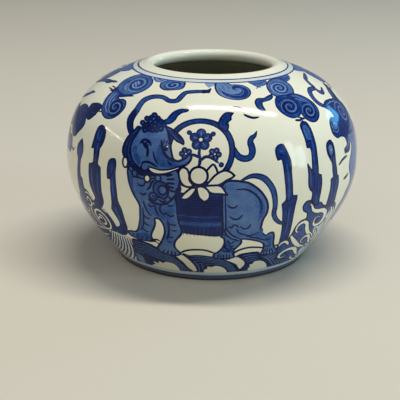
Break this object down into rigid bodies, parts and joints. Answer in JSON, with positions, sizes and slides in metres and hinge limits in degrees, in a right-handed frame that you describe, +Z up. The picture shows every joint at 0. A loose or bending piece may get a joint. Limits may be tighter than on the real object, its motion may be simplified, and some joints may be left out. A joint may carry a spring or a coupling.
{
  "type": "calligraphy water pot",
  "caption": "Squat round-bellied porcelain water pot with a wide open mouth, a rounded lip and a low turned foot ring, painted in underglaze blue.",
  "frame": {"origin": "centre of the circle that the foot ring stands on", "axes": "+Z up along the pot's axis of revolution, -Y towards the middle of the painted front"},
  "size_m": [0.096, 0.096, 0.064],
  "materials": {
    "glaze": "gloss",
    "biscuit": "matte, unglazed"
  },
  "bodies": {
    "root": {"foot_ring": "biscuit", "lower_bowl": "glaze", "luting_slip": "glaze", "upper_bowl": "glaze"}
  },
  "joints": []
}
